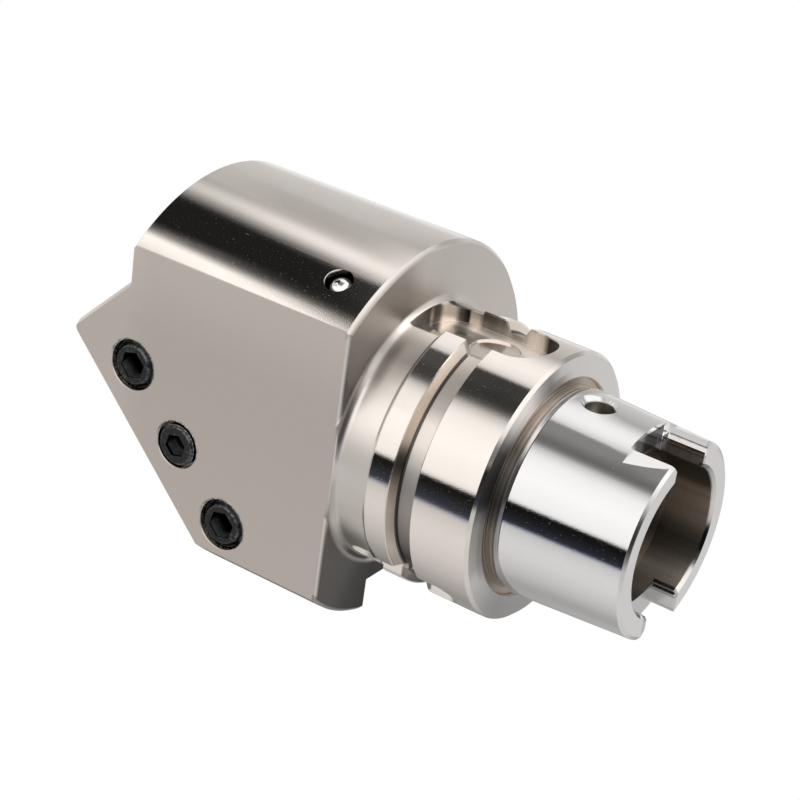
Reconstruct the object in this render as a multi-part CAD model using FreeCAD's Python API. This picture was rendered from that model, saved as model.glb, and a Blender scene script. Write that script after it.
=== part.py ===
import FreeCAD, Part
import math
import os

os.makedirs("parts", exist_ok=True)
V = FreeCAD.Vector

# Frame: +X points along the spindle axis into the spindle, the origin lies on that axis in
# the contact face, the big clamping flat faces -Y and +Z is up. All lengths are in mm.

# Hollow taper shank, size 63, with face contact
TAPER_GAUGE_D = 48.01
TAPER_GAUGE_X = 6.3
TAPER_FALL = 0.1
SHANK_L = 32.0
SHANK_LEAD = 0.6
SHANK_LEAD_DROP = 0.9
FACE_INNER_D = 51.6
ROOT_D = 47.5
ROOT_L = 2.7
ROOT_GROOVE = 0.9
ACCESS_HOLE_D = 6.5
ACCESS_HOLE_X = 9.0
ACCESS_CHAMFER = 1.0

# Inside of the hollow shank
BORE_D = 34.0
BORE_LEAD = 0.8
CLAMP_RECESS_D = 37.0
CLAMP_GAUGE_X = 18.13
CLAMP_ANGLE = 30.0
RECESS_FLOOR_X = 5.0
TUBE_POCKET_D = 26.0
TUBE_SEAT_X = 1.0
TUBE_THREAD_D = 18.0
TUBE_THREAD_PITCH = 1.0
TUBE_THREAD_L = 12.0
COOLANT_D = 8.0

# Drive slots in the end of the shank, the two differ in depth
DRIVE_W = 12.54
DRIVE_TOP_DEPTH = 10.3
DRIVE_BOTTOM_DEPTH = 6.1
DRIVE_WALL_TOP = 19.3
DRIVE_UNDERCUT = 0.7
DRIVE_FACE_H = 3.2
FACET_TURN = 20.0
FACET_R = 22.71
FACET_SETBACK = 0.5

# Flange with the gripper groove, gripper slots and orientation notch
FLANGE_D = 63.0
FLANGE_L = 26.9
FLANGE_CHAMFER = 0.75
GROOVE_X = 18.0
GROOVE_FLOOR_D = 57.8
GROOVE_FLOOR_W = 3.75
GROOVE_HALF_ANGLE = 30.0
RIB_CHAMFER = 0.3
SLOT_TOP_W = 16.0
SLOT_TOP_FLOOR = 26.5
SLOT_BOTTOM_W = 18.0
SLOT_BOTTOM_FLOOR = 20.0
SLOT_NEAR_X = 4.0
SLOT_FAR_X = 35.4
SPOT_X = 18.3
SPOT_D = 11.6
SPOT_DEPTH = 0.5
NOTCH_TURN = 45.0
NOTCH_DEPTH = 4.1
NOTCH_NEAR_X = 6.0
NOTCH_END_X = 31.0

# Neck and head
NECK_D = 61.0
NECK_FILLET = 2.0
HEAD_D = 90.0
HEAD_FRONT_X = 36.2
HEAD_END_X = 95.8
HEAD_CHAMFER = 1.1
HEAD_END_CHAMFER = 0.5
FLAT_Y = 30.6
FLAT_CHAMFER = 1.0
TIP_X = 112.0
TIP_Z = 8.15
TIP_ROUND = 2.5

# Tool channel and its clamping row
CHANNEL_ANGLE = 45.0
CHANNEL_H = 22.8
CHANNEL_PLATE_Y = 10.6
SEAT_Y = 25.0
CORNER_RELIEF_D = 2.0
ROW_FROM_EDGE = 10.17
ROW_FIRST = 15.85
ROW_PITCH = 20.75

# Clamping set screws, holding screw, clamping bar and coolant plug
SET_D = 12.0
SET_L = 20.0
SET_HEX = 6.0
SET_HEX_DEPTH = 8.0
SET_SUNK = 0.0
SET_MOUTH = 0.2
CAP_THREAD_D = 6.0
CAP_L = 20.0
CAP_HEAD_D = 10.0
CAP_HEAD_H = 6.0
CAP_HEX = 5.0
CAP_HEX_DEPTH = 3.0
CAP_SUNK = -0.5
CAP_BORE_D = 11.2
BAR_T = 10.0
BAR_GAP = 0.4
BAR_CHAMFER = 0.6
BALL_D = 6.0
BALL_SUNK = 0.5
BALL_X = 46.6
BALL_TURN = 28.9
CROSS_BORE_D = 4.5
OUTLET_D = 5.0
OUTLET_R = 35.0
THREAD_FIT = 0.1

# Values worked out from the sizes above
flange_r = FLANGE_D / 2
neck_r = NECK_D / 2
head_r = HEAD_D / 2
front_x = -HEAD_FRONT_X
end_x = -HEAD_END_X
rib_x = -FLANGE_L
turn = math.radians(CHANNEL_ANGLE)
along = V(math.cos(turn), 0, -math.sin(turn))
across = V(math.sin(turn), 0, math.cos(turn))
tip = V(-TIP_X, 0, TIP_Z)
big = 2 * HEAD_D


def taper_r(x):
    return TAPER_GAUGE_D / 2 - (x - TAPER_GAUGE_X) * TAPER_FALL / 2


def turned(profile):
    """Solid of revolution about the X axis from (x, radius) points."""
    points = [V(x, r, 0) for x, r in profile]
    face = Part.Face(Part.makePolygon(points + [points[0]]))
    return face.revolve(V(0, 0, 0), V(1, 0, 0), 360)


def block(x0, x1, y0, y1, z0, z1):
    return Part.makeBox(x1 - x0, y1 - y0, z1 - z0, V(x0, y0, z0))


def rod(d, length, start, direction):
    return Part.makeCylinder(d / 2, length, start, direction)


def drill(d, length, start, direction, mouth):
    """Round hole with a countersunk mouth, starting at its open end."""
    hole = rod(d, length, start, direction)
    r = d / 2
    lip = Part.makeCone(r + 2 * mouth, r, 2 * mouth, start - direction * mouth, direction)
    return hole.fuse(lip)


def seat_point(a, b, y):
    """Point given by its distances from the tip, along and across the channel."""
    p = tip + along * a + across * b
    return V(p.x, y, p.z)


def seat_prism(a0, a1, b0, b1, y0, y1):
    corners = [(a0, b0), (a1, b0), (a1, b1), (a0, b1), (a0, b0)]
    wire = Part.makePolygon([seat_point(a, b, y0) for a, b in corners])
    return Part.Face(wire).extrude(V(0, y1 - y0, 0))


def hexagon(across_flats, depth, start, direction):
    """Hexagon socket, sunk from its start point along a direction on the Y axis."""
    r = across_flats / math.sqrt(3)
    points = []
    for i in range(7):
        t = math.radians(60 * i + 15)
        points.append(start + V(r * math.cos(t), 0, r * math.sin(t)))
    return Part.Face(Part.makePolygon(points)).extrude(direction * depth)


def head_outline():
    """Side outline of the head with its rounded tip, drawn in the plane of the flat."""
    top = head_r + 1
    y = -FLAT_Y
    reach = (end_x - tip.x) / across.x
    heel = (tip.z + top) / math.sin(turn)
    b = tip + across * reach
    c1 = tip + across * TIP_ROUND
    c2 = tip + along * TIP_ROUND
    mid = tip + (along + across) * (TIP_ROUND * (1 - 1 / math.sqrt(2)))
    d = tip + along * heel

    def at(p):
        return V(p.x, y, p.z)

    straight = [V(front_x, y, -top), V(front_x, y, top), V(end_x, y, top), at(b), at(c1)]
    edges = []
    for p, q in zip(straight[:-1], straight[1:]):
        edges.append(Part.makeLine(p, q))
    edges.append(Part.Arc(at(c1), at(mid), at(c2)).toShape())
    edges.append(Part.makeLine(at(c2), at(d)))
    edges.append(Part.makeLine(at(d), V(front_x, y, -top)))
    return Part.Wire(edges)


def wedge(corner, inward, depth, length, size):
    """Three-sided bar that takes off an edge of the flat, run along a direction."""
    over = V(0, 1, 0)
    p = corner + inward * size
    q = corner + over * size
    far = corner - inward * size - over * size
    points = [p + (p - q) * depth, q + (q - p) * depth, far + (far - corner) * depth]
    return Part.Face(Part.makePolygon(points + [points[0]])).extrude(length)


# Head: a round bar trimmed to the side outline, with a flat on one side
bar_profile = [
    (front_x, 0),
    (front_x, head_r - HEAD_CHAMFER),
    (front_x - HEAD_CHAMFER, head_r),
    (-TIP_X - 1, head_r),
    (-TIP_X - 1, 0),
]
prism = Part.Face(head_outline()).extrude(V(0, head_r + 1 + FLAT_Y, 0))
head = turned(bar_profile).common(prism)

# Chamfers of the flat: along its front edge and along the slanted edge beside the tip
front_edge = wedge(V(front_x, -FLAT_Y, -big / 2), V(-1, 0, 0), 1, V(0, 0, big), FLAT_CHAMFER)
slant_edge = wedge(V(tip.x, -FLAT_Y, tip.z) - across * big / 4, along, 1, across * big, FLAT_CHAMFER)
slant_edge = slant_edge.cut(block(end_x, big, -big, big, -big, big))
head = head.cut(front_edge).cut(slant_edge)

# Chamfer of the round edge at the end of the head
end_ring = []
for edge in head.Edges:
    box = edge.BoundBox
    on_end = abs(box.XMin - end_x) < 0.01 and abs(box.XMax - end_x) < 0.01
    if on_end and isinstance(edge.Curve, Part.Circle):
        end_ring.append(edge)
head = head.makeChamfer(HEAD_END_CHAMFER, end_ring)

# Neck: its fillet runs out on the head front and is trimmed level with the flat
inner_x = front_x - 3
rise_r = neck_r + NECK_FILLET
fillet_mid = V(front_x + NECK_FILLET * (1 - math.sqrt(0.5)), rise_r - NECK_FILLET * math.sqrt(0.5), 0)
fillet_end = V(front_x + NECK_FILLET, neck_r, 0)
neck_edges = [
    Part.makeLine(V(inner_x, 0, 0), V(inner_x, rise_r, 0)),
    Part.makeLine(V(inner_x, rise_r, 0), V(front_x, rise_r, 0)),
    Part.Arc(V(front_x, rise_r, 0), fillet_mid, fillet_end).toShape(),
    Part.makeLine(fillet_end, V(rib_x + 1, neck_r, 0)),
    Part.makeLine(V(rib_x + 1, neck_r, 0), V(rib_x + 1, 0, 0)),
    Part.makeLine(V(rib_x + 1, 0, 0), V(inner_x, 0, 0)),
]
neck = Part.Face(Part.Wire(neck_edges)).revolve(V(0, 0, 0), V(1, 0, 0), 360)
neck = neck.cut(block(-big, rib_x, -big, -FLAT_Y, -big, big))

# Flange and taper in one turned profile, the groove flanks lie at their standard angle
groove_x = -GROOVE_X
floor_r = GROOVE_FLOOR_D / 2
floor_half = GROOVE_FLOOR_W / 2
flank = (flange_r - floor_r) * math.tan(math.radians(GROOVE_HALF_ANGLE))
root_r = ROOT_D / 2
face_r = FACE_INNER_D / 2
shank_profile = [
    (rib_x, 0),
    (rib_x, flange_r - RIB_CHAMFER),
    (rib_x + RIB_CHAMFER, flange_r),
    (groove_x - floor_half - flank, flange_r),
    (groove_x - floor_half, floor_r),
    (groove_x + floor_half, floor_r),
    (groove_x + floor_half + flank, flange_r),
    (-FLANGE_CHAMFER, flange_r),
    (0, flange_r - FLANGE_CHAMFER),
    (0, face_r),
    (-ROOT_GROOVE, face_r - ROOT_GROOVE / 4),
    (-ROOT_GROOVE, root_r + ROOT_GROOVE / 4),
    (-ROOT_GROOVE * 0.75, root_r),
    (ROOT_L, root_r),
    (ROOT_L + 0.4, taper_r(ROOT_L + 0.4)),
    (SHANK_L - SHANK_LEAD, taper_r(SHANK_L - SHANK_LEAD)),
    (SHANK_L, taper_r(SHANK_L) - SHANK_LEAD_DROP),
    (SHANK_L, 0),
]
body = turned(shank_profile).fuse([neck, head]).removeSplitter()

# Hollow of the shank with its clamping shoulder, coolant tube thread and coolant bore
bore_r = BORE_D / 2
recess_r = CLAMP_RECESS_D / 2
pocket_r = TUBE_POCKET_D / 2
shoulder = (recess_r - bore_r) / math.tan(math.radians(CLAMP_ANGLE))
thread_r = TUBE_THREAD_D / 2 - 0.541 * TUBE_THREAD_PITCH
thread_end = TUBE_SEAT_X - TUBE_THREAD_L
cool_r = COOLANT_D / 2
cool_end = -BALL_X - CROSS_BORE_D / 2
hollow_profile = [
    (SHANK_L + 1, 0),
    (SHANK_L + 1, bore_r + BORE_LEAD + 1),
    (SHANK_L - BORE_LEAD, bore_r),
    (CLAMP_GAUGE_X + shoulder, bore_r),
    (CLAMP_GAUGE_X, recess_r),
    (RECESS_FLOOR_X, recess_r),
    (RECESS_FLOOR_X, pocket_r),
    (TUBE_SEAT_X, pocket_r),
    (TUBE_SEAT_X, thread_r),
    (thread_end, thread_r),
    (thread_end - (thread_r - cool_r), cool_r),
    (cool_end, cool_r),
    (cool_end - cool_r / 2, 0),
]
cuts = [turned(hollow_profile)]

# Radial access hole through the taper
access_top = V(ACCESS_HOLE_X, 0, taper_r(ACCESS_HOLE_X))
cuts.append(drill(ACCESS_HOLE_D, taper_r(0), access_top, V(0, 0, -1), ACCESS_CHAMFER))

# Drive slots: plain walls, a wider undercut inside, a chamfer and a shallow facet outside
drive_half = DRIVE_W / 2
wide = drive_half + DRIVE_UNDERCUT
far_x = SHANK_L + 5
top_z = taper_r(0)
flare = drive_half + top_z - DRIVE_WALL_TOP
for side, depth in ((1, DRIVE_TOP_DEPTH), (-1, DRIVE_BOTTOM_DEPTH)):
    slot_x = SHANK_L - depth
    run = V(far_x - slot_x, 0, 0)
    slot = block(slot_x, far_x, -drive_half, drive_half, 0, big)
    inner = block(slot_x, far_x, -wide, wide, 0, DRIVE_WALL_TOP - DRIVE_FACE_H)
    mouth = [(-drive_half, DRIVE_WALL_TOP), (drive_half, DRIVE_WALL_TOP), (flare, top_z), (-flare, top_z)]
    mouth_wire = Part.makePolygon([V(slot_x, y, z) for y, z in mouth + [mouth[0]]])
    drive = slot.fuse([inner, Part.Face(mouth_wire).extrude(run)])
    for hand in (1, -1):
        facet_x = slot_x + FACET_SETBACK
        facet = block(facet_x, far_x, -drive_half, drive_half, FACET_R, big)
        facet.rotate(V(0, 0, 0), V(1, 0, 0), hand * FACET_TURN)
        drive = drive.fuse(facet)
    if side < 0:
        drive.rotate(V(0, 0, 0), V(1, 0, 0), 180)
    cuts.append(drive)

# Gripper slots: flat floors with round ends
for side, width, floor in ((1, SLOT_TOP_W, SLOT_TOP_FLOOR), (-1, SLOT_BOTTOM_W, SLOT_BOTTOM_FLOOR)):
    half = width / 2
    x0 = -SLOT_FAR_X + half
    x1 = -SLOT_NEAR_X - half
    slot = block(x0, x1, -half, half, floor, big)
    for x in (x0, x1):
        slot = slot.fuse(rod(width, big, V(x, 0, floor), V(0, 0, 1)))
    if side > 0:
        slot = slot.fuse(rod(SPOT_D, SPOT_DEPTH * 2, V(-SPOT_X, 0, floor - SPOT_DEPTH), V(0, 0, 1)))
    else:
        slot.rotate(V(0, 0, 0), V(1, 0, 0), 180)
    cuts.append(slot)

# Orientation notch: a right-angled vee with conical ends, beside the lower gripper slot
notch_floor = flange_r - NOTCH_DEPTH
notch_x0 = -NOTCH_END_X
notch_x1 = -NOTCH_NEAR_X - NOTCH_DEPTH
w = NOTCH_DEPTH
vee = [(0, notch_floor), (w, flange_r), (w, flange_r + w), (-w, flange_r + w), (-w, flange_r)]
vee_wire = Part.makePolygon([V(notch_x0, y, z) for y, z in vee + [vee[0]]])
notch = Part.Face(vee_wire).extrude(V(notch_x1 - notch_x0, 0, 0))
for x in (notch_x0, notch_x1):
    notch = notch.fuse(Part.makeCone(0, w, w, V(x, 0, notch_floor), V(0, 0, 1)))
    notch = notch.fuse(rod(2 * w, w, V(x, 0, flange_r), V(0, 0, 1)))
notch.rotate(V(0, 0, 0), V(1, 0, 0), 180 - NOTCH_TURN)
cuts.append(notch)

# Tool channel, open on three sides, with a relief along its inner corner
cuts.append(seat_prism(-big, big, -big, CHANNEL_H, -CHANNEL_PLATE_Y, SEAT_Y))
cuts.append(rod(CORNER_RELIEF_D, 2 * big, seat_point(-big, CHANNEL_H, SEAT_Y), along))

# Holes for the two set screws and the holding screw
sink = V(0, 1, 0)
plate_t = FLAT_Y - CHANNEL_PLATE_Y
row = [seat_point(ROW_FIRST + i * ROW_PITCH, ROW_FROM_EDGE, -FLAT_Y) for i in range(3)]
for start in (row[0], row[2]):
    cuts.append(drill(SET_D + 2 * THREAD_FIT, plate_t + 1, start, sink, SET_MOUTH))
cap_seat = CAP_SUNK + CAP_HEAD_H
cuts.append(drill(CAP_BORE_D, cap_seat, row[1], sink, SET_MOUTH))
cuts.append(rod(CAP_THREAD_D + 6 * THREAD_FIT, plate_t + 1, row[1], sink))

# Coolant cross bore, closed by a ball, and the outlet in the end of the head
radial = V(0, -math.sin(math.radians(BALL_TURN)), math.cos(math.radians(BALL_TURN)))
ball_r = BALL_D / 2
seat_drop = math.sqrt(ball_r ** 2 - (CROSS_BORE_D / 2) ** 2)
ball_centre = V(-BALL_X, 0, 0) + radial * (head_r - BALL_SUNK - ball_r)
ball_hole = BALL_SUNK + ball_r + seat_drop
ball_mouth = V(-BALL_X, 0, 0) + radial * head_r
cuts.append(drill(BALL_D + 4 * THREAD_FIT, ball_hole, ball_mouth, -radial, 0.1))
cuts.append(rod(CROSS_BORE_D, head_r, V(-BALL_X, 0, 0), radial))
outlet_start = V(-BALL_X, 0, 0) + radial * OUTLET_R
cuts.append(rod(OUTLET_D, big, outlet_start, V(-1, 0, 0)))

for cut in cuts:
    body = body.cut(cut)
body = body.removeSplitter()


def set_screw(start, sunk):
    top = start + sink * sunk
    r = SET_D / 2
    edge = SET_D / 8
    core = rod(SET_D, SET_L - 2 * edge, top + sink * edge, sink)
    crown = Part.makeCone(r - edge, r, edge, top, sink)
    point = Part.makeCone(r, r - edge, edge, top + sink * (SET_L - edge), sink)
    screw = core.fuse([crown, point]).removeSplitter()
    return screw.cut(hexagon(SET_HEX, SET_HEX_DEPTH, top, sink))


def cap_screw(start):
    top = start + sink * CAP_SUNK
    r = CAP_HEAD_D / 2
    edge = CAP_HEAD_D / 16
    crown = Part.makeCone(r - edge, r, edge, top, sink)
    cap = rod(CAP_HEAD_D, CAP_HEAD_H - edge, top + sink * edge, sink)
    stem = rod(CAP_THREAD_D, CAP_L, top + sink * CAP_HEAD_H, sink)
    screw = crown.fuse([cap, stem]).removeSplitter()
    return screw.cut(hexagon(CAP_HEX, CAP_HEX_DEPTH, top, sink))


# Clamping bar: it hangs on the holding screw and is pressed on the tool shank
bar_y = -CHANNEL_PLATE_Y
bar_end = 2 * ROW_FIRST + 2 * ROW_PITCH
clamp_bar = seat_prism(BAR_GAP, bar_end - BAR_GAP, BAR_GAP, CHANNEL_H - BAR_GAP, bar_y, bar_y + BAR_T)
lower_edges = [e for e in clamp_bar.Edges if e.BoundBox.YMin > bar_y + BAR_T - 0.01]
clamp_bar = clamp_bar.makeChamfer(BAR_CHAMFER, lower_edges)
clamp_bar = clamp_bar.cut(rod(CAP_THREAD_D + 2 * THREAD_FIT, big, row[1], sink))

pieces = {
    "holder_body": body,
    "clamp_screw_upper": set_screw(row[0], SET_SUNK),
    "clamp_screw_lower": set_screw(row[2], plate_t - SET_L),
    "holding_screw": cap_screw(row[1]),
    "clamping_bar": clamp_bar,
    "coolant_ball": Part.makeSphere(ball_r, ball_centre),
}

for name, shape in pieces.items():
    shape.exportStep("parts/" + name + ".step")
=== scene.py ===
import math
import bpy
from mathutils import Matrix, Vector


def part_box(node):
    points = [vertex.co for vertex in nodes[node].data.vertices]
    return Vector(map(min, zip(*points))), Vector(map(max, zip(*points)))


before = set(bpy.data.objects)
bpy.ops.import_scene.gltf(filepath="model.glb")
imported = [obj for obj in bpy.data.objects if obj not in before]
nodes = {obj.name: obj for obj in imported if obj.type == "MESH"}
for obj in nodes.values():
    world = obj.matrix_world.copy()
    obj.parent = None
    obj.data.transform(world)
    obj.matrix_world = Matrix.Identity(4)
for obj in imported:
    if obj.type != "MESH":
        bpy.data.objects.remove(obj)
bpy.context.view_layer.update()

from types import SimpleNamespace
import bpy
from mathutils import Matrix, Vector

scene = bpy.context.scene

MM_PER_M = 1000.0
WHITE = (1, 1, 1, 1)


def centre(name):
    """Middle of a piece's box, in mm."""
    return tuple((p + q) / 2 * MM_PER_M for p, q in zip(*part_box(name)))


BALL_PLACE = centre("coolant_ball")
FLAT_Y = -30.6  # big flat, mm
# Screws: middle, radius of the hole and radius of the face inside its bevelled rim, mm
SCREWS = (
    (centre("clamp_screw_upper"), 6.1, 4.5),
    (centre("clamp_screw_lower"), 6.1, 4.5),
    (centre("holding_screw"), 5.6, 4.4),
)

# The stops in the tables below were typed in by hand, rounded, and corrected several times by the
# ratio of the photograph's brightness to the render's, measured along each surface by a scratch
# script. So they hold for the photograph's view, and other views show the same bands.

# Studio as the steel sees it: a ring round the X axis, from the front (0) over the top (90)
# to the back (180) and below the horizon (negative), each stop an angle and a brightness.
RING = [
    (-180, 0.72), (-171, 0.87), (-163, 0.90), (-155, 0.90), (-149, 0.70), (-145, 0.50), (-139, 0.40),
    (-132, 0.42), (-120, 0.44), (-104, 0.43), (-92, 0.48), (-80, 0.61), (-65, 0.74), (-50, 0.83),
    (-40, 0.85), (-31, 0.80), (-26, 0.74), (-23.5, 0.68), (-22, 0.60), (-20.6, 0.40), (-19.2, 0.13),
    (-17.5, 0.065), (-14, 0.045), (-8, 0.025), (-3, 0.010), (0, 0.018), (0.6, 0.05), (1.3, 0.44),
    (2.2, 0.88), (4.2, 1.06), (7, 1.14), (18, 1.19), (32, 1.26), (46, 1.20), (54, 1.13), (58, 1.02),
    (61, 0.85), (64, 0.66), (66, 0.48), (68, 0.28), (70, 0.14), (72, 0.075), (75, 0.035), (80, 0.016),
    (95.6, 0.02), (97.3, 0.08), (98.6, 0.62), (100, 0.82), (102, 0.95), (105, 1.06), (113, 1.17),
    (121, 1.14), (126, 1.04), (141, 0.51), (156, 0.62), (180, 0.72),
]
# The same for directions that lean far to -X, from over the top to the back
RING_FAR = [
    (40, 0.58), (53, 0.68), (57, 0.86), (61, 1.2), (64.5, 1.38), (66.3, 0.96), (68, 0.46), (70.3, 0.16),
    (73, 0.05), (75, 0.016), (92, 0.016), (94.5, 0.04), (96.2, 0.14), (98.2, 0.30), (101.2, 0.60),
    (104.2, 0.95), (107, 1.08), (110, 1.05), (113, 0.89), (116, 0.76), (119, 0.67), (124, 0.58),
    (140, 0.62), (155, 0.66), (170, 0.68), (180, 0.72),
]
# Dark gap over the object by a direction's lean along X: shift and widening in degrees,
# and how pale it is
GAP_SHIFT = [
    (-0.62, 13), (-0.57, 10), (-0.54, 7.3), (-0.51, 4.6), (-0.475, 1.2), (-0.43, 0.7), (-0.41, 0),
    (-0.39, -1.2), (-0.3, -1.6),
]
GAP_WIDEN = [
    (-0.6, 5), (-0.57, 4.6), (-0.51, 3), (-0.46, 2), (-0.43, 2), (-0.40, 1.4), (-0.37, 1.8), (-0.3, 2),
]
GAP_PALE = [
    (-0.5, 0), (-0.47, 0.042), (-0.455, 0.038), (-0.442, 0.024), (-0.42, 0.018), (-0.40, 0.035),
    (-0.37, 0.16), (-0.35, 0.19), (-0.3, 0.19),
]

# Painted light and shade: how much of the studio each surface shows, multiplied into its colour,
# by the turn round the X axis, as (degrees, level): the ground contact face gets a painted fan of
# light and dark reflections from its grinding rings
CONTACT_FACE = [
    (-180, 1.0), (-92, 0.52), (-60, 0.45), (-50, 0.51), (-38, 0.68), (-30, 0.82), (-25, 0.85),
    (-20, 0.72), (-5, 0.71), (2, 0.66), (8, 0.38), (11, 0.12), (14, 0.045), (25, 0.022), (30, 0.04),
    (35, 0.08), (39, 0.26), (43, 0.58), (47, 0.92), (53, 1.2), (57, 1.28), (62, 1.15), (66, 0.86),
    (70, 0.68), (76, 0.56), (80, 0.75), (85, 0.94), (95, 1.0), (180, 1.03),
]
FACE_INSIDE = [
    (-180, 1.0), (-50, 1.1), (-33, 1.0), (-27, 0.72), (10, 0.65), (13, 1.0), (28, 1.0), (35, 0.7),
    (55, 0.78), (63, 1.0), (68, 0.9), (75, 0.7), (85, 0.42), (92, 0.85), (96, 1.0), (180, 1.0),
]
FLANGE_EDGE = [
    (-180, 0.5), (-75, 0.1), (-65, 0.42), (-55, 0.65), (-35, 0.82), (-25, 0.97), (0, 1.05), (5, 0.9),
    (15, 1.1), (24, 0.66), (32, 0.18), (37, 0.22), (42, 0.76), (50, 1.0), (75, 1.0), (85, 0.7),
    (95, 0.87), (105, 1.06), (115, 1.04), (125, 0.84), (135, 0.9), (180, 0.95),
]
HEAD_FRONT = [
    (-180, 1.0), (-90, 0.06), (-75, 0.043), (-65, 0.08), (-55, 0.15), (-35, 0.18), (-28, 0.25),
    (-16, 0.8), (0, 1.0), (20, 0.42), (30, 0.16), (35, 0.155), (45, 0.42), (55, 0.73), (65, 0.70),
    (75, 0.73), (80, 0.9), (85, 1.0), (95, 0.96), (125, 1.0), (155, 1.05), (180, 1.08),
]
HEAD_EDGE = [
    (-180, 0.3), (-75, 0.02), (-65, 0.11), (-55, 0.46), (-45, 0.62), (-20, 0.9), (30, 0.5), (40, 0.75),
    (45, 0.8), (65, 0.93), (75, 0.82), (85, 0.68), (92, 1.0), (105, 1.1), (115, 0.97), (125, 0.87),
    (135, 0.74), (180, 0.8),
]
HEAD_END_EDGE = [
    (-180, 1.0), (45, 1.15), (51, 0.6), (56, 0.12), (60, 0.02), (68, 0.02), (73, 0.6), (80, 1.0),
    (180, 1.0),
]
NECK_FILLET = [
    (-180, 0.8), (-80, 0.8), (-72, 1.2), (-66, 0.04), (-58, 0.03), (-50, 0.06), (-45, 0.2), (-38, 0.62),
    (-30, 0.8), (0, 0.8), (5, 0.57), (10, 0.36), (15, 0.19), (25, 0.16), (33, 0.23), (38, 0.42),
    (45, 1.0), (52, 1.25), (75, 1.2), (85, 0.95), (95, 1.05), (110, 1.2), (120, 0.95), (180, 0.9),
]
NECK = [
    (-180, 1.0), (-60, 1.2), (-45, 1.05), (-38, 0.68), (-32, 0.68), (-25, 0.93), (-15, 0.79),
    (-5, 0.84), (5, 1.1), (12, 1.25), (42, 1.25), (48, 0.98), (55, 0.66), (65, 0.8), (72, 1.25),
    (88, 1.2), (96, 0.9), (105, 0.6), (115, 0.85), (180, 1.0),
]
RIB = [
    (-180, 0.8), (-70, 0.9), (-55, 0.72), (-45, 0.68), (-35, 0.72), (-25, 0.83), (-15, 0.9), (0, 0.97),
    (40, 1.0), (47, 1.0), (51, 0.92), (54, 1.15), (62, 1.25), (66, 0.96), (75, 0.97), (85, 0.85),
    (97, 0.87), (103, 1.4), (107, 2.0), (112, 1.1), (125, 1.1), (180, 1.0),
]
GROOVE_WALL = [
    (-180, 0.5), (-65, 0.09), (-55, 0.2), (-45, 0.55), (-35, 0.57), (-25, 0.8), (-15, 0.7), (-5, 0.8),
    (5, 0.6), (11, 0.25), (15, 0.13), (19, 0.22), (25, 0.85), (35, 0.93), (45, 1.0), (55, 1.25),
    (75, 1.25), (105, 1.05), (125, 1.15), (180, 0.9),
]
GROOVE_FLOOR = [
    (-180, 0.9), (-52, 0.9), (-47, 0.58), (-42, 0.16), (-35, 0.06), (-25, 0.24), (-15, 0.37), (-5, 0.5),
    (5, 0.54), (12, 0.7), (17, 0.95), (25, 1.14), (35, 1.15), (42, 0.75), (50, 0.66), (60, 0.8),
    (65, 0.97), (75, 1.2), (85, 1.15), (97, 1.0), (103, 0.28), (109, 0.42), (118, 0.85), (180, 0.9),
]
BORE = [
    (-180, 0.62), (-172, 0.6), (-165, 0.36), (-155, 0.16), (-145, 0.26), (-135, 0.53), (-125, 1.1),
    (-105, 1.25), (-95, 0.6), (-85, 0.9), (-60, 1.2), (60, 0.4), (95, 0.1), (107, 0.3), (115, 0.43),
    (125, 0.12), (135, 0.17), (145, 0.27), (155, 0.33), (162, 0.7), (168, 0.8), (180, 0.62),
]
BORE_LEAD = [
    (-180, 0.95), (-176, 0.9), (-170, 0.3), (-164, 0.15), (-150, 0.07), (-145, 0.05), (-141, 0.2),
    (-136, 0.8), (-126, 0.95), (-60, 1.0), (-52, 0.4), (-45, 0.7), (100, 0.2), (115, 0.15), (125, 0.3),
    (130, 0.5), (150, 0.8), (170, 0.95), (180, 0.95),
]
SHANK_LEAD_IN = [
    (-180, 0.9), (-40, 0.95), (-20, 1.05), (4, 0.98), (10, 0.45), (16, 0.13), (22, 0.06), (28, 0.09),
    (33, 0.2), (38, 0.7), (44, 1.25), (60, 1.2), (75, 1.0), (95, 0.7), (105, 0.62), (115, 0.9),
    (125, 0.84), (145, 0.8), (180, 0.85),
]
ROOT = [
    (-180, 1.2), (-75, 1.6), (-65, 1.5), (-55, 1.2), (-45, 0.86), (-35, 0.86), (-15, 0.8), (-5, 0.72),
    (5, 0.33), (12, 0.19), (22, 0.3), (32, 0.48), (42, 0.42), (52, 0.85), (65, 1.3), (75, 1.4),
    (85, 0.85), (97, 0.85), (105, 1.2), (115, 1.9), (180, 1.9),
]
TAPER_START = [
    (-180, 0.6), (-60, 0.65), (-25, 1.0), (0, 0.9), (8, 0.55), (14, 0.9), (30, 0.8), (55, 1.0),
    (68, 0.7), (80, 0.33), (100, 0.4), (130, 0.8), (180, 0.8),
]
# The same along X in mm: root of the taper, far wall and floor of the upper gripper slot
ROOT_ALONG = [
    (-1.3, 0.28), (-0.6, 0.4), (-0.45, 1.2), (-0.32, 2.0), (-0.14, 2.0), (0, 1.1), (0.4, 0.95),
    (1.0, 1.15), (1.3, 0.55), (1.5, 0.45), (1.75, 1.1), (1.95, 1.5), (3.4, 1.5),
]
SLOT_WALL_ALONG = [
    (-36, 0.3), (-30.3, 0.6), (-29.5, 1.2), (-28, 1.2), (-27.3, 0.75), (-26.6, 0.34), (-25, 0.22),
    (-23.2, 0.27), (-21.5, 0.35), (-20, 0.46), (-18.7, 0.38), (-17.2, 0.42), (-15.7, 0.65),
    (-14.2, 0.95), (-12.7, 0.95), (-11.2, 0.85), (-9.5, 0.06), (-4, 0.04),
]
SLOT_FLOOR_ALONG = [
    (-36, 0.6), (-34.5, 1.25), (-32.5, 1.2), (-31, 0.7), (-29, 0.8), (-27, 1.2), (-24.5, 1.25),
    (-4, 1.25),
]
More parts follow.
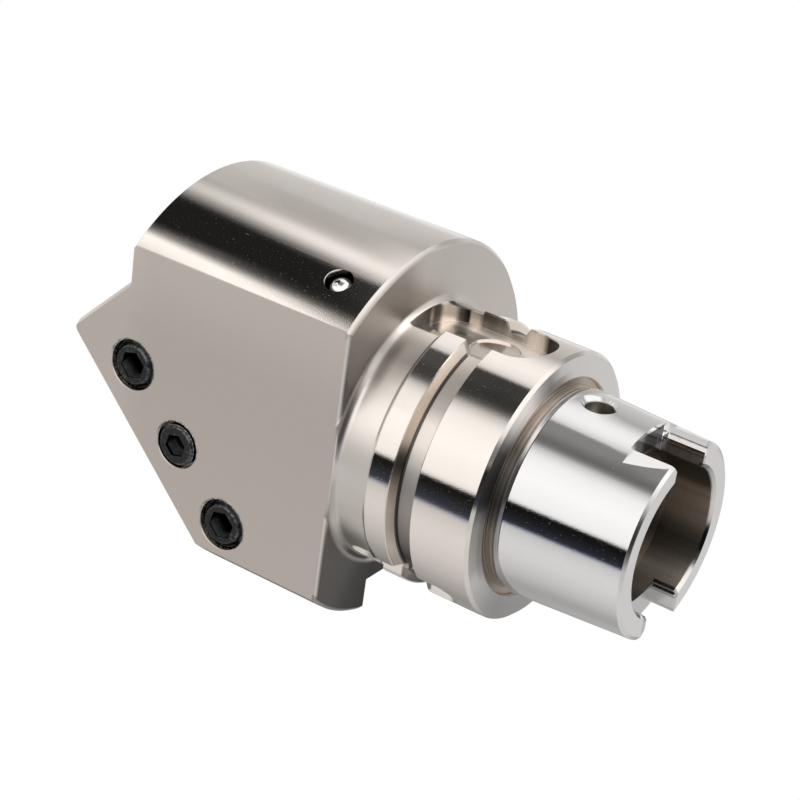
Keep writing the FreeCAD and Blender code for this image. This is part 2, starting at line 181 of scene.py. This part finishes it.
# The same along Y in mm: left end of that slot, foot of the upper drive slot
SLOT_END_ACROSS = [
    (-8, 0.3), (-2.5, 0.13), (0, 0.08), (2.6, 0.19), (3.3, 0.8), (4.2, 1.25), (5.0, 1.25), (5.8, 1.1),
    (6.5, 0.24), (7.3, 0.04), (8, 0.04),
]
DRIVE_FOOT_ACROSS = [
    (-7, 1.8), (-5.5, 1.2), (-3.5, 1.05), (-2.5, 0.45), (-1.5, 0.13), (0, 0.065), (1.5, 0.06),
    (3.5, 0.03), (6.5, 0.08),
]
# The same along Z in mm: far wall of the upper drive slot, big flat
DRIVE_WALL_UP = [
    (15, 0.9), (16.2, 0.8), (17.7, 0.8), (18.2, 0.4), (18.6, 1.5), (19.3, 2.8), (19.9, 1.25),
    (20.1, 0.34), (20.4, 0.34), (20.6, 1.1), (21.5, 1.05), (21.9, 0.6), (22.2, 1.1), (23, 1.1),
]
FLAT_UP = [(-50, 0.70), (5, 0.715), (15, 0.735), (22, 0.79), (30, 0.87), (40, 0.9)]


class Net:
    """Short notation for the shader nodes of a world or a material."""

    def __init__(self, owner):
        owner.use_nodes = True
        self.tree = owner.node_tree
        self.tree.nodes.clear()

    def add(self, kind, **sockets):
        node = self.tree.nodes.new(kind)
        for key, value in sockets.items():
            self.put(node.inputs[key.replace("_", " ")], value)
        return node

    def put(self, socket, value):
        if isinstance(value, bpy.types.NodeSocket):
            self.tree.links.new(value, socket)
        else:
            socket.default_value = value

    def math(self, operation, *values, clamp=False):
        node = self.tree.nodes.new("ShaderNodeMath")
        node.operation = operation
        node.use_clamp = clamp
        for socket, value in zip(node.inputs, values):
            self.put(socket, value)
        return node.outputs[0]

    def length(self, *parts):
        squares = [self.math("MULTIPLY", part, part) for part in parts]
        total = squares[0]
        for square in squares[1:]:
            total = self.math("ADD", total, square)
        return self.math("SQRT", total)

    def turn(self, y, z):
        """Degrees round the X axis, from the front (0) over the top (90) to the back (180)."""
        return self.math("MULTIPLY", self.math("ARCTAN2", z, self.math("MULTIPLY", y, -1.0)), 180 / math.pi)

    def smooth(self, value, low, high):
        """Soft step from 0 at low to 1 at high, falling where high is the smaller one."""
        node = self.add("ShaderNodeMapRange", Value=value, From_Min=low, From_Max=high)
        node.interpolation_type = "SMOOTHSTEP"
        return node.outputs["Result"]

    def band(self, value, low, high, soft):
        rise = self.smooth(value, low - soft, low + soft)
        fall = self.smooth(value, high - soft, high + soft)
        return self.both(rise, self.outside(fall))

    def both(self, *masks):
        result = masks[0]
        for mask in masks[1:]:
            result = self.math("MULTIPLY", result, mask)
        return result

    def either(self, *masks):
        result = masks[0]
        for mask in masks[1:]:
            result = self.math("MAXIMUM", result, mask)
        return result

    def outside(self, mask):
        return self.math("SUBTRACT", 1.0, mask)

    def lerp(self, factor, a, b):
        node = self.tree.nodes.new("ShaderNodeMix")
        node.data_type = "FLOAT"
        self.put(node.inputs[0], factor)
        self.put(node.inputs[2], a)
        self.put(node.inputs[3], b)
        return node.outputs[0]

    def mix(self, factor, a, b):
        node = self.tree.nodes.new("ShaderNodeMix")
        node.data_type = "RGBA"
        self.put(node.inputs["Factor"], factor)
        self.put(node.inputs["A"], a)
        self.put(node.inputs["B"], b)
        return node.outputs["Result"]

    def curve(self, value, stops, bottom=0.0, top=2.0):
        """Piecewise straight curve through (value, level) stops, with levels between bottom and top."""
        first, last = stops[0][0], stops[-1][0]
        past = self.math("SUBTRACT", value, float(first))
        place = self.math("DIVIDE", past, float(last - first), clamp=True)
        node = self.add("ShaderNodeValToRGB", Fac=place)
        items = node.color_ramp.elements
        for i, (at, level) in enumerate(stops):
            share = (at - first) / (last - first)
            item = items[i] if i < 2 else items.new(share)
            item.position = share
            item.color = (*[(level - bottom) / (top - bottom)] * 3, 1)
        level = self.add("ShaderNodeSeparateColor", Color=node.outputs["Color"]).outputs[0]
        level = self.math("MULTIPLY", level, top - bottom)
        return self.math("ADD", level, bottom) if bottom else level

    def noise(self, coord, scale, detail=2.0, rough=0.5):
        node = self.add("ShaderNodeTexNoise", Vector=coord, Scale=scale, Detail=detail, Roughness=rough)
        return node.outputs["Fac"]

    def streaks(self, coord, along, detail=2.0):
        """Noise with its own scale along each axis."""
        node = self.add("ShaderNodeMapping", Vector=coord, Scale=along)
        return self.noise(node.outputs["Vector"], 1.0, detail)

    def white_to_camera(self, shader, white, output):
        """Ends the net: the camera sees plain white, every other ray the shader."""
        pick = self.add("ShaderNodeMixShader")
        self.put(pick.inputs[0], self.add("ShaderNodeLightPath").outputs["Is Camera Ray"])
        self.put(pick.inputs[1], shader.outputs[0])
        self.put(pick.inputs[2], self.add(white, Strength=1.0, Color=WHITE).outputs[0])
        self.add(output, Surface=pick.outputs[0])


def studio():
    """Soft studio that the steel mirrors: a ring of light round the X axis and a pale wall towards +X."""
    world = bpy.data.worlds.new("studio")
    scene.world = world
    n = Net(world)
    x, y, z = n.add("ShaderNodeSeparateXYZ", Vector=n.add("ShaderNodeTexCoord").outputs["Generated"]).outputs
    angle = n.turn(y, z)
    # The dark gap lies further back and is wider for directions that lean more to -X
    weight = n.math("DIVIDE", n.math("SUBTRACT", angle, 20.0), 50.0, clamp=True)
    shift = n.curve(x, GAP_SHIFT, bottom=-2.0, top=18.0)
    angle = n.math("SUBTRACT", angle, n.math("MULTIPLY", shift, weight))
    weight = n.math("DIVIDE", n.math("SUBTRACT", angle, 80.0), 12.0, clamp=True)
    widening = n.curve(x, GAP_WIDEN, top=20.0)
    angle = n.math("SUBTRACT", angle, n.math("MULTIPLY", widening, weight))
    late = n.both(n.band(angle, -6.0, 12.0, 3.0), n.smooth(x, -0.43, -0.40), 1.5)
    angle = n.math("SUBTRACT", angle, late)
    # The ring is too long for one ramp, so two halves are joined
    joint, brightest = -3, 1.4
    low = n.curve(angle, [stop for stop in RING if stop[0] <= joint], top=brightest)
    high = n.curve(angle, [stop for stop in RING if stop[0] >= joint], top=brightest)
    ring = n.lerp(n.math("GREATER_THAN", angle, float(joint)), low, high)
    far = n.both(n.math("GREATER_THAN", angle, 40.0), n.smooth(x, -0.465, -0.505))
    ring = n.lerp(far, ring, n.curve(angle, RING_FAR, top=brightest))
    # The dark gap over the object is greyer for directions that lean less to -X
    gap = n.both(n.smooth(angle, 56.0, 69.0), n.smooth(angle, 101.0, 97.0))
    pale = n.math("MULTIPLY", n.curve(x, GAP_PALE), n.lerp(n.smooth(angle, 73.0, 88.0), 0.7, 1.45))
    ring = n.math("ADD", ring, n.math("MULTIPLY", gap, pale))
    # Patches of the ring that are dimmer, as (patch, level)
    patches = (
        (n.both(n.band(angle, 98.0, 120.0, 4.0), n.smooth(x, -0.51, -0.57)), 0.68),
        (n.both(n.band(angle, 114.0, 140.0, 4.0), n.band(x, -0.545, -0.485, 0.015)), 0.87),
        (n.both(n.band(angle, -19.0, 1.5, 1.0), n.smooth(x, -0.43, -0.39)), 0.6),
        (n.both(n.band(angle, -165.0, -137.0, 4.0), n.smooth(x, -0.49, -0.46)), 0.6),
    )
    for patch, level in patches:
        ring = n.math("MULTIPLY", ring, n.lerp(patch, 1.0, level))
    # Below the object it is darker the more a direction leans to -X
    below = n.both(n.smooth(angle, -95.0, -115.0), n.outside(n.smooth(angle, -140.0, -148.0)))
    lower = n.add("ShaderNodeMapRange", Value=x, From_Min=-0.46, From_Max=-0.34, To_Min=0.5, To_Max=1.12)
    ring = n.math("MULTIPLY", ring, n.lerp(below, 1.0, lower.outputs["Result"]))
    # Directions along +X see a plain pale wall, dim beyond its end, and a bright panel over it
    plain = n.lerp(n.smooth(x, 0.75, 0.95), 0.74, 0.62)
    upper = n.lerp(n.either(n.smooth(y, 0.25, 0.05), n.smooth(x, 0.74, 0.84)), 0.5, 1.3)
    upper = n.lerp(n.smooth(z, 0.42, 0.56), upper, 1.25)
    plain = n.lerp(n.smooth(z, 0.12, 0.3), plain, upper)
    # A dark slanting gap in that wall
    slope = n.math("ADD", z, n.math("MULTIPLY", n.math("ADD", y, 0.46), 0.34))
    wall_gap = n.both(n.band(slope, -0.24, 0.20, 0.06), n.smooth(y, -0.1, -0.22), n.smooth(x, 0.68, 0.82))
    plain = n.lerp(wall_gap, plain, 0.04)
    wall = n.smooth(x, 0.0, 0.3)
    cool = n.band(angle, -21.0, -8.0, 3.0)
    tint = n.mix(cool, (1, 0.995, 0.985, 1), (0.86, 0.95, 1.25, 1))
    light = n.add("ShaderNodeBackground", Strength=n.lerp(wall, ring, plain), Color=tint)
    n.white_to_camera(light, "ShaderNodeBackground", "ShaderNodeOutputWorld")


def new_metal(name):
    """A material, its net, its shader and its object coordinates in metres."""
    material = bpy.data.materials.new(name)
    n = Net(material)
    shader = n.add("ShaderNodeBsdfPrincipled", Metallic=1.0)
    n.add("ShaderNodeOutputMaterial", Surface=shader.outputs[0])
    return material, n, shader, n.add("ShaderNodeTexCoord").outputs["Object"]


def in_mm(n, coord):
    axes = n.add("ShaderNodeSeparateXYZ", Vector=coord).outputs
    return [n.math("MULTIPLY", axis, MM_PER_M) for axis in axes]


def from_screw(n, x, z, place):
    """Offsets from a screw's axis, and the distance."""
    dx = n.math("SUBTRACT", x, place[0])
    dz = n.math("SUBTRACT", z, place[2])
    return dx, dz, n.length(dx, dz)


def body_masks(n, x, y, z, radius, turn):
    """The surfaces of the body, told apart by place in mm: each mask is 1 on its surface, 0 off it."""
    m = SimpleNamespace()
    across = n.math("ABSOLUTE", y)
    # Head: big flat and its far end, front face, edges at both ends, fillet to the neck
    m.flat = n.both(n.smooth(y, -30.2, -30.5), n.smooth(x, -36.2, -36.5))
    m.flat_end = n.both(m.flat, n.smooth(x, -88.0, -100.0))
    m.front = n.both(n.band(x, -36.6, -35.2, 0.4), n.smooth(radius, 31.0, 33.0))
    m.head_edge = n.both(n.band(x, -37.4, -36.2, 0.05), n.smooth(radius, 43.8, 43.95))
    m.head_end_edge = n.both(n.smooth(x, -95.3, -95.5), n.smooth(radius, 43.6, 43.7))
    m.fillet = n.both(n.band(x, -36.1, -34.4, 0.2), n.band(radius, 30.7, 32.4, 0.2))
    # Painted shade in the seat of the ball and on the walls of the screw holes; rims on their upper side,
    # partly stain and partly painted shade
    from_ball = n.length(*(n.math("SUBTRACT", a, b) for a, b in zip((x, y, z), BALL_PLACE)))
    m.plug = n.both(n.smooth(from_ball, 4.5, 4.1), n.smooth(radius, 45.0, 44.8))
    holes, rims = [], []
    for place, hole, _ in SCREWS:
        dx, dz, gap = from_screw(n, x, z, place)
        side = n.smooth(n.math("ADD", dz, n.math("MULTIPLY", dx, 0.3)), -2.0, 1.0)
        holes.append(n.smooth(gap, hole + 0.6, hole + 0.3))
        rims.append(n.both(n.band(gap, hole - 0.2, hole + 0.5, 0.12), side))
    m.screw_holes = n.both(n.either(*holes), n.smooth(y, FLAT_Y + 0.05, FLAT_Y + 0.3), n.smooth(y, 0.0, -1.0))
    m.screw_rims = n.both(n.either(*rims), m.flat)
    # Upper and lower gripper slot: end, far side, near side, floor and painted shade in its middle
    in_flange = n.smooth(radius, 31.3, 31.1)
    m.in_slot = n.both(n.smooth(across, 9.2, 8.6), n.band(x, -35.4, -4.0, 0.1), in_flange)
    m.slot_wall = n.both(m.in_slot, n.smooth(n.math("ABSOLUTE", z), 26.50, 26.56))
    m.slot_end = n.both(m.slot_wall, n.smooth(x, -29.8, -30.2))
    m.slot_far = n.both(m.slot_wall, n.smooth(x, -30.2, -29.8), n.smooth(y, 0.0, 2.0))
    m.slot_near = n.both(m.slot_wall, n.smooth(y, 0.0, -1.0))
    over_floor = n.smooth(z, 26.3, 26.45)
    m.slot_floor = n.both(m.in_slot, n.outside(m.slot_wall), n.smooth(y, 1.0, 4.0), over_floor)
    m.slot_middle = n.both(
        m.in_slot, n.band(x, -31.5, -22.0, 1.5), n.smooth(y, 5.5, 3.5), over_floor, n.smooth(z, 26.6, 26.55))
    # Neck with its painted shaded part and painted shade at its foot, rib between neck and groove
    off_slot = n.outside(m.in_slot)
    m.neck = n.both(n.band(x, -36.3, -27.3, 0.2), n.smooth(radius, 33.0, 31.5), off_slot)
    m.neck_shade = n.both(m.neck, n.band(turn, 40.0, 63.0, 5.0), n.smooth(x, -31.0, -33.5))
    off_front = n.smooth(n.math("ABSOLUTE", n.math("SUBTRACT", turn, 5.0)), 10.0, 20.0)
    m.neck_foot = n.both(m.neck, n.smooth(x, -27.95, -27.7), off_front)
    m.rib = n.both(n.band(x, -27.0, -20.3, 0.05), n.smooth(radius, 30.9, 31.1))
    # Gripper groove: floor, walls, painted shade in the corner between them
    groove = n.both(n.band(x, -22.0, -14.0, 0.3), in_flange, off_slot)
    m.groove_floor = n.both(groove, n.smooth(radius, 29.2, 29.0))
    m.groove_wall = n.both(groove, n.smooth(radius, 29.0, 29.3))
    m.groove_corner = n.both(groove, n.band(x, -20.4, -19.55, 0.08), n.smooth(radius, 29.5, 29.3))
    # Flange: its front edge, contact face and the inner part of that face
    m.flange_edge = n.both(n.band(x, -0.8, 0.0, 0.05), n.smooth(radius, 30.72, 30.80))
    m.contact = n.both(n.band(x, -0.2, 0.06, 0.05), n.band(radius, 25.75, 30.78, 0.03))
    m.contact_inside = n.both(m.contact, n.smooth(radius, 28.2, 27.4), 0.6)
    # Shank: ground part, undercut root, start of the taper, access hole, rim with its inner lead-in
    m.ground = n.smooth(x, -0.4, 0.2)
    by_root = n.both(n.smooth(radius, 25.8, 25.74), n.smooth(radius, 21.0, 21.5))
    m.root = n.both(n.band(x, -1.5, 1.95, 0.05), by_root)
    m.taper_start = n.both(n.band(x, 1.95, 2.75, 0.05), by_root)
    from_hole = n.length(n.math("SUBTRACT", x, 9.0), y)
    above = n.smooth(z, 15.0, 16.0)
    m.access_hole = n.both(n.smooth(from_hole, 3.5, 3.3), above, n.smooth(radius, 23.4, 23.2))
    m.rim = n.both(n.smooth(x, 31.38, 31.45), n.smooth(x, 32.02, 31.96), n.smooth(radius, 21.4, 21.6))
    m.lead_in = n.both(n.smooth(x, 31.1, 31.3), n.smooth(radius, 17.95, 17.75))
    # Upper drive slot: far wall, a painted highlight in its corner, its upper part, its lower part and the
    # foot
    m.drive_wall = n.both(n.smooth(x, 21.5, 21.7), n.band(y, 6.15, 7.2, 0.03), n.smooth(z, 15.8, 15.9))
    m.drive_corner = n.both(m.drive_wall, n.band(x, 22.2, 22.9, 0.1))
    m.drive_upper = n.both(m.drive_wall, n.smooth(x, 22.9, 23.3), n.smooth(z, 20.0, 20.2))
    m.drive_lower = n.both(m.drive_wall, n.smooth(z, 18.7, 18.5))
    m.drive_foot = n.both(n.band(x, 21.2, 22.1, 0.1), n.smooth(across, 6.15, 6.1), n.band(z, 15.0, 22.2, 0.2))
    # Lower drive slot and its inner rim
    m.low_slot = n.both(n.smooth(x, 25.7, 25.9), n.smooth(z, -14.4, -14.6), n.smooth(across, 8.0, 7.5))
    m.low_rim = n.both(m.low_slot, n.smooth(z, -16.9, -16.7))
    # Bore without the drive slots, and its floor
    bore = n.both(n.band(x, 0.5, 31.4, 0.2), n.smooth(radius, 19.2, 18.8))
    m.bore_floor = n.both(bore, n.smooth(x, 7.0, 5.5))
    m.bore = n.both(bore, n.outside(n.either(m.drive_wall, m.low_slot, m.drive_foot)))
    return m


def body_steel():
    """Nickel-plated steel with its surfaces told apart by place, each with painted light and shade, and
    neutral ground steel on the taper.
    """
    material, n, shader, coord = new_metal("nickel_steel")
    x, y, z = in_mm(n, coord)
    radius = n.length(y, z)
    turn = n.turn(y, z)
    m = body_masks(n, x, y, z, radius, turn)
    grain = n.noise(coord, 4200.0)
    # Marks of the tools: lengthways and round the bore, along the slot walls
    lengthways = n.lerp(n.streaks(coord, (15, 500, 500)), 0.8, 1.55)
    turned = n.lerp(n.streaks(coord, (3000, 10, 10)), 0.85, 1.15)
    milled = n.lerp(n.streaks(coord, (900, 900, 20)), 0.6, 1.4)
    # Dull broken rings on the flat round the screws, on their upper side: partly a stain tint, partly painted
    # shade
    stains = n.both(m.screw_rims, n.smooth(n.noise(coord, 1300.0), 0.38, 0.55))
    # Painted light and shade: how much of the studio each surface shows, multiplied into the colour
    levels = (
        # the rings round the screws carry painted shade as well as their stain tint
        (m.flat, n.curve(z, FLAT_UP)), (m.flat_end, 1.08), (m.flat, n.lerp(grain, 0.95, 1.05)), (stains, 0.5),
        # painted shade in the seat of the ball and on the walls of the screw holes
        (m.plug, 0.15), (m.screw_holes, 0.5),
        (m.front, 0.80), (m.front, n.curve(turn, HEAD_FRONT)),
        (m.head_edge, n.curve(turn, HEAD_EDGE)), (m.head_end_edge, n.curve(turn, HEAD_END_EDGE)),
        (m.fillet, n.curve(turn, NECK_FILLET)),
        (m.neck, n.curve(turn, NECK)), (m.neck_shade, 0.55), (m.neck_foot, 0.35),
        (m.rib, n.curve(turn, RIB)),
        (m.groove_wall, n.curve(turn, GROOVE_WALL)), (m.groove_floor, n.curve(turn, GROOVE_FLOOR)),
        (m.groove_corner, 0.2),
        (m.flange_edge, n.curve(turn, FLANGE_EDGE)),
        (m.contact, n.curve(turn, CONTACT_FACE)), (m.contact_inside, n.curve(turn, FACE_INSIDE)),
        (m.in_slot, 1.05), (m.slot_floor, n.curve(x, SLOT_FLOOR_ALONG)), (m.slot_middle, 0.4),
        (m.slot_end, n.curve(y, SLOT_END_ACROSS)), (m.slot_far, n.curve(x, SLOT_WALL_ALONG)),
        (m.slot_near, 0.6), (m.slot_wall, milled),
        (m.ground, 0.93), (m.root, n.curve(turn, ROOT)), (m.root, n.curve(x, ROOT_ALONG)),
        (m.taper_start, n.curve(turn, TAPER_START)), (m.access_hole, 0.55),
        (m.rim, n.curve(turn, SHANK_LEAD_IN)), (m.lead_in, n.curve(turn, BORE_LEAD)),
        (m.bore, n.curve(turn, BORE)), (m.bore, n.both(lengthways, turned)),
        # painted shade and light on the bore floor, changing with the turn
        (m.bore_floor, n.lerp(n.smooth(turn, -60.0, -110.0), 0.2, 1.2)),
        (m.drive_wall, n.curve(z, DRIVE_WALL_UP)), (m.drive_wall, milled), (m.drive_upper, 0.75),
        (m.drive_corner, 2.6), (m.drive_foot, n.curve(y, DRIVE_FOOT_ACROSS)),
        # painted highlight low in the foot of the upper drive slot
        (m.drive_foot, n.lerp(n.smooth(z, 17.6, 18.2), 4.0, 0.65)),
        (m.low_slot, 0.8), (m.low_rim, 0.6),
    )
    # All the painted light and shade gathered into one factor on the colour
    depth = 1.0
    for mask, level in levels:
        depth = n.math("MULTIPLY", depth, n.lerp(mask, 1.0, level))
    depth = n.math("MINIMUM", depth, 1.2)
    # Colour with slight clouding, browner where the surface lies deep
    cloud = n.noise(coord, 60.0, 3.0)
    nickel = n.mix(cloud, (0.79, 0.73, 0.68, 1), (0.83, 0.775, 0.725, 1))
    steel = n.mix(cloud, (0.80, 0.79, 0.785, 1), (0.84, 0.83, 0.825, 1))
    deep = n.either(m.groove_wall, m.root, m.bore, m.access_hole)
    colour = n.mix(m.ground, nickel, steel)
    colour = n.mix(n.both(deep, 0.6), colour, (0.80, 0.68, 0.57, 1))
    colour = n.mix(m.flat, colour, (0.80, 0.72, 0.66, 1))
    colour = n.mix(stains, colour, (0.66, 0.72, 0.69, 1))
    colour = n.mix(n.both(m.bore, 0.25), colour, (0.80, 0.66, 0.53, 1))
    colour = n.mix(n.both(m.slot_wall, 0.7), colour, (0.80, 0.71, 0.60, 1))
    # The colour darkened and brightened by the painted light and shade
    shaded = n.add("ShaderNodeVectorMath", Vector=colour)
    shaded.operation = "SCALE"
    n.put(shaded.inputs["Scale"], depth)
    n.put(shader.inputs["Base Color"], shaded.outputs["Vector"])
    # Roughness: fine grain, with rings of the grinding wheel on the taper
    rough = n.math("ADD", 0.02, n.math("MULTIPLY", grain, 0.04))
    rings = n.math("ADD", 0.03, n.math("MULTIPLY", n.streaks(coord, (2600, 12, 12)), 0.05))
    rough = n.lerp(m.ground, rough, rings)
    for mask, level in (
        (m.flat, 0.30), (m.front, 0.40), (m.neck, 0.44), (m.fillet, 0.35), (m.bore, 0.35),
        (m.groove_floor, 0.5), (m.groove_wall, 0.4), (m.in_slot, 0.13), (m.slot_floor, 0.55),
        (m.slot_wall, 0.34), (m.drive_lower, 0.3), (m.low_slot, 0.25), (m.access_hole, 0.4),
        (m.contact, 0.4), (m.root, 0.45),
    ):
        rough = n.lerp(mask, rough, level)
    # Specks of dust and short scratches, seen where the steel mirrors something dark
    specks = n.smooth(n.noise(coord, 4600.0, 1.0), 0.72, 0.77)
    scratches = n.smooth(n.streaks(coord, (500, 6000, 6000), 1.0), 0.77, 0.80)
    n.put(shader.inputs["Roughness"], n.lerp(n.either(specks, scratches), rough, 0.32))
    bump = n.add("ShaderNodeBump", Height=grain, Strength=0.14, Distance=0.00004)
    # The fillet at the head faces more evenly along the diagonal, on the side of the light
    diagonal = n.add("ShaderNodeCombineXYZ", X=n.math("MULTIPLY", radius, 0.75), Y=y, Z=z)
    facing = n.add("ShaderNodeVectorMath", Vector=diagonal.outputs["Vector"])
    facing.operation = "NORMALIZE"
    even = n.tree.nodes.new("ShaderNodeMix")
    even.data_type = "VECTOR"
    n.put(even.inputs[0], n.both(m.fillet, n.band(turn, 46.0, 76.0, 6.0), 0.8))
    n.put(even.inputs[4], bump.outputs["Normal"])
    n.put(even.inputs[5], facing.outputs["Vector"])
    n.put(shader.inputs["Normal"], even.outputs[1])
    return material


def black_screw():
    """Black oxide, worn through to the steel in patches and along the rims, where the rims also carry painted
    highlights; painted shade on the bevels and in the sockets, and painted reflections on the lower facets of
    the sockets.
    """
    material, n, shader, coord = new_metal("black_screw")
    x, y, z = in_mm(n, coord)
    rims, bevels, sockets, facets = [], [], [], []
    for place, hole, face in SCREWS:
        dx, dz, gap = from_screw(n, x, z, place)
        rims.append(n.band(gap, hole - 0.7, hole + 0.5, 0.2))
        rims.append(n.both(n.band(gap, face - 0.1, face + 0.3, 0.2), 0.3))
        bevels.append(n.band(gap, face, hole, 0.3))
        sockets.append(n.smooth(gap, 3.6, 3.5))
        # Lower facets inside the sockets, made lighter as a painted reflection
        low_side = n.smooth(n.math("ADD", dz, n.math("MULTIPLY", dx, 0.5)), -0.6, -2.6)
        facets.append(n.both(n.smooth(gap, 3.7, 3.6), n.smooth(gap, 1.2, 2.4), low_side))
    sunk = n.smooth(y, FLAT_Y + 0.1, FLAT_Y + 0.6)
    socket = n.both(n.either(*sockets), sunk)
    facet = n.both(n.either(*facets), sunk, n.smooth(y, FLAT_Y + 5.0, FLAT_Y + 1.5))
    patch = n.noise(coord, 900.0, 4.0)
    # Rims worn through to the steel, lighter also as painted highlights
    bare = n.both(n.either(*rims), n.smooth(n.noise(coord, 1500.0, 3.0, 0.6), 0.36, 0.60))
    # Painted shade on the bevels and inside the hex sockets
    darker = n.either(n.both(n.either(*bevels), 0.6), socket)
    colour = n.mix(darker, (0.032, 0.032, 0.034, 1), (0.012, 0.012, 0.013, 1))
    colour = n.mix(n.both(n.smooth(patch, 0.50, 0.75), 0.2), colour, (0.3, 0.3, 0.3, 1))
    colour = n.mix(n.both(facet, 0.3), colour, (0.25, 0.25, 0.26, 1))
    n.put(shader.inputs["Base Color"], n.mix(bare, colour, (0.36, 0.375, 0.37, 1)))
    n.put(shader.inputs["Metallic"], n.lerp(facet, 1.0, 0.2))
    n.put(shader.inputs["Roughness"], n.math("ADD", 0.12, n.math("MULTIPLY", patch, 0.2)))
    bump = n.add("ShaderNodeBump", Height=patch, Strength=0.3, Distance=0.00005)
    n.put(shader.inputs["Normal"], bump.outputs["Normal"])
    return material


def plain_metal(name, dark, light, rough):
    material, n, shader, coord = new_metal(name)
    patch = n.noise(coord, 500.0, 3.0)
    n.put(shader.inputs["Base Color"], n.mix(patch, dark, light))
    n.put(shader.inputs["Roughness"], n.math("ADD", rough, n.math("MULTIPLY", patch, 0.08)))
    return material


def floor():
    """White to the camera, a pale matt floor to all other rays, not mirrored by the steel."""
    half, height = 3.0, -0.16
    corners = [(-half, -half, height), (half, -half, height), (half, half, height), (-half, half, height)]
    mesh = bpy.data.meshes.new("floor")
    mesh.from_pydata(corners, [], [(0, 1, 2, 3)])
    obj = bpy.data.objects.new("floor", mesh)
    scene.collection.objects.link(obj)
    material = bpy.data.materials.new("floor")
    n = Net(material)
    patch = n.noise(n.add("ShaderNodeTexCoord").outputs["Object"], 4.0)
    matt = n.add("ShaderNodeBsdfDiffuse", Color=n.mix(patch, (0.78, 0.78, 0.78, 1), (0.82, 0.82, 0.82, 1)))
    n.white_to_camera(matt, "ShaderNodeEmission", "ShaderNodeOutputMaterial")
    obj.data.materials.append(material)
    obj.visible_glossy = False


def camera():
    """Camera fitted to the photograph: its place in metres, its directions, and its focal length in
    pixels of a picture of 800 by 800."""
    place = (0.19597, -0.390385, 0.228824)
    ahead = Vector((-0.46540, 0.76844, -0.43921)).normalized()
    up = Vector((0.81445, 0.56608, 0.12738)).normalized().cross(ahead).normalized()
    right = ahead.cross(up)
    focal_pixels, picture_pixels, sensor_mm = 2245.59, 800.0, 36.0
    data = bpy.data.cameras.new("camera")
    obj = bpy.data.objects.new("camera", data)
    scene.collection.objects.link(obj)
    obj.matrix_world = Matrix.Translation(place) @ Matrix((right, up, -ahead)).transposed().to_4x4()
    data.sensor_fit = "HORIZONTAL"
    data.sensor_width = sensor_mm
    data.lens = focal_pixels * sensor_mm / picture_pixels
    data.clip_start = 0.05
    data.clip_end = 20.0
    scene.camera = obj


studio()
body = body_steel()
screw = black_screw()
looks = {
    "holder_body": body,
    "clamp_screw_upper": screw,
    "clamp_screw_lower": screw,
    "holding_screw": screw,
    "clamping_bar": plain_metal("bar_steel", (0.34, 0.33, 0.32, 1), (0.42, 0.41, 0.40, 1), 0.3),
    "coolant_ball": plain_metal("ball_steel", (0.78, 0.78, 0.78, 1), (0.86, 0.86, 0.86, 1), 0.04),
}
for name, material in looks.items():
    data = nodes[name].data
    data.materials.clear()
    data.materials.append(material)
floor()
camera()
scene.view_settings.view_transform = "Standard"
